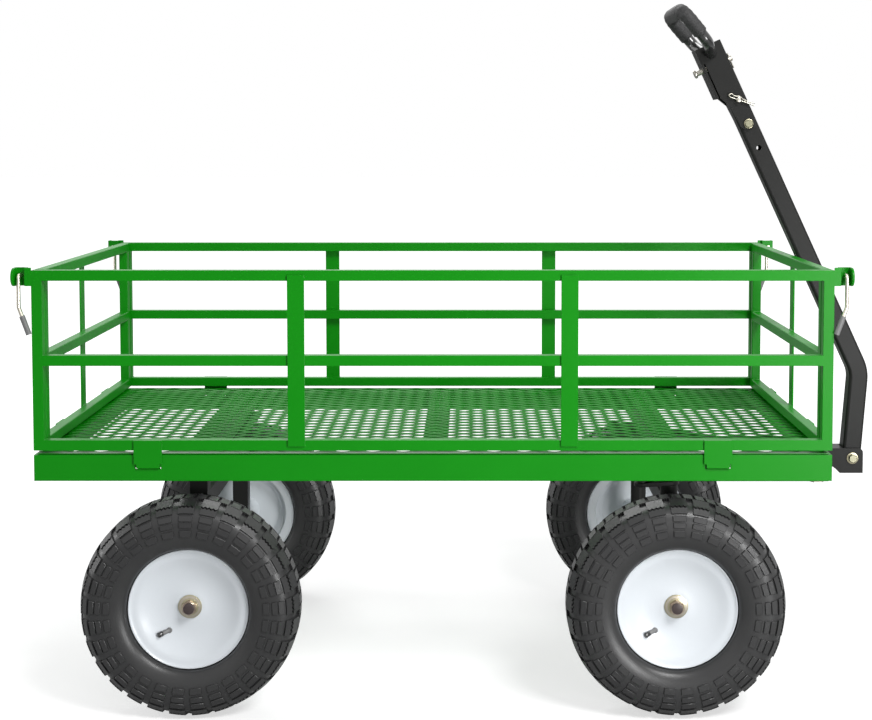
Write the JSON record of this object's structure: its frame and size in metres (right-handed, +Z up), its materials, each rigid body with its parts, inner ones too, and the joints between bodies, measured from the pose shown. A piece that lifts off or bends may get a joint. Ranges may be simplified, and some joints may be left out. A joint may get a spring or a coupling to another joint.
{
  "type": "mesh garden cart",
  "caption": "Steel garden cart with an expanded-metal deck, fold-down rail sides, pneumatic wheels and a padded pull handle.",
  "frame": {"origin": "on the floor under the middle of the whole cart's box", "axes": "+X towards the pull handle, +Z up, +Y to the left of a person pulling the cart"},
  "size_m": [1.3768, 0.6862, 1.1145],
  "materials": {
    "green_paint": "powder coated, semi gloss",
    "black_paint": "powder coated, semi gloss",
    "white_paint": "gloss enamel",
    "tyre_rubber": "matt black rubber",
    "zinc": "zinc plated, faint yellow",
    "foam": "closed-cell foam, matt",
    "vinyl": "dipped vinyl"
  },
  "bodies": {
    "bed": {"deck_frame": "green_paint", "cross_members": "green_paint", "deck_mesh": "green_paint", "front_panel": "green_paint", "rear_axle_frame": "black_paint", "rear_axle": "black_paint", "rear_right_nut": "zinc", "rear_left_nut": "zinc", "front_axle_frame": "black_paint", "draw_plate": "black_paint", "draft_bar": "black_paint", "steering_pin": "zinc"},
    "right_knuckle": {"right_spindle": "black_paint", "front_right_nut": "zinc"},
    "left_knuckle": {"left_spindle": "black_paint", "front_left_nut": "zinc"},
    "right_link": {"right_tie_rod": "black_paint"},
    "left_link": {"left_tie_rod": "black_paint"},
    "yoke": {"tongue_yoke": "black_paint", "tilt_bolt": "zinc"},
    "handle": {"tow_bar": "black_paint", "grip_bracket": "black_paint", "grip_bolt": "zinc", "hitch_pin": "zinc", "lock_pin": "zinc", "grip_loop": "black_paint", "grip_sleeve": "foam"},
    "right_side": {"right_side_panel": "green_paint", "right_latch_rods": "zinc", "right_latch_sleeves": "vinyl"},
    "left_side": {"left_side_panel": "green_paint", "left_latch_rods": "zinc", "left_latch_sleeves": "vinyl"},
    "rear_gate": {"rear_panel": "green_paint"},
    "front_right_wheel": {"front_right_tyre": "tyre_rubber", "front_right_rim": "white_paint"},
    "front_left_wheel": {"front_left_tyre": "tyre_rubber", "front_left_rim": "white_paint"},
    "rear_right_wheel": {"rear_right_tyre": "tyre_rubber", "rear_right_rim": "white_paint"},
    "rear_left_wheel": {"rear_left_tyre": "tyre_rubber", "rear_left_rim": "white_paint"}
  },
  "joints": [
    {"name": "steering", "type": "hinge", "parent": "bed", "child": "yoke", "pos_m": [0.60509, 0, 0.34], "axis": [0, 0, 1], "range_deg": [-35, 35]},
    {"name": "right_kingpin", "type": "hinge", "parent": "bed", "child": "right_knuckle", "pos_m": [0.32059, -0.212, 0.1685], "axis": [0, 0, 1], "range_deg": [-35, 35]},
    {"name": "left_kingpin", "type": "hinge", "parent": "bed", "child": "left_knuckle", "pos_m": [0.32059, 0.212, 0.1685], "axis": [0, 0, 1], "range_deg": [-35, 35]},
    {"name": "right_link_pin", "type": "hinge", "parent": "yoke", "child": "right_link", "pos_m": [0.56009, -0.018, 0.34], "axis": [0, 0, 1], "range_deg": [-35, 35]},
    {"name": "left_link_pin", "type": "hinge", "parent": "yoke", "child": "left_link", "pos_m": [0.56009, 0.018, 0.34], "axis": [0, 0, 1], "range_deg": [-35, 35]},
    {"name": "handle_tilt", "type": "hinge", "parent": "yoke", "child": "handle", "pos_m": [0.66169, 0, 0.336], "axis": [0, 1, 0], "range_deg": [0, 130]},
    {"name": "right_side_fold", "type": "hinge", "parent": "bed", "child": "right_side", "pos_m": [-0.05191, -0.305, 0.388], "axis": [1, 0, 0], "range_deg": [0, 90]},
    {"name": "left_side_fold", "type": "hinge", "parent": "bed", "child": "left_side", "pos_m": [-0.05191, 0.305, 0.388], "axis": [-1, 0, 0], "range_deg": [0, 90]},
    {"name": "rear_gate_fold", "type": "hinge", "parent": "bed", "child": "rear_gate", "pos_m": [-0.66141, 0, 0.388], "axis": [0, -1, 0], "range_deg": [0, 90]},
    {"name": "front_right_spin", "type": "hinge", "parent": "right_knuckle", "child": "front_right_wheel", "pos_m": [0.32059, -0.293, 0.1685], "axis": [0, 1, 0], "continuous": true},
    {"name": "front_left_spin", "type": "hinge", "parent": "left_knuckle", "child": "front_left_wheel", "pos_m": [0.32059, 0.293, 0.1685], "axis": [0, 1, 0], "continuous": true},
    {"name": "rear_right_spin", "type": "hinge", "parent": "bed", "child": "rear_right_wheel", "pos_m": [-0.42441, -0.293, 0.1685], "axis": [0, 1, 0], "continuous": true},
    {"name": "rear_left_spin", "type": "hinge", "parent": "bed", "child": "rear_left_wheel", "pos_m": [-0.42441, 0.293, 0.1685], "axis": [0, 1, 0], "continuous": true}
  ],
  "couplings": [
    {"joint": "right_kingpin", "follows": "steering", "ratio": 1},
    {"joint": "left_kingpin", "follows": "steering", "ratio": 1},
    {"joint": "right_link_pin", "follows": "steering", "ratio": -1},
    {"joint": "left_link_pin", "follows": "steering", "ratio": -1}
  ]
}
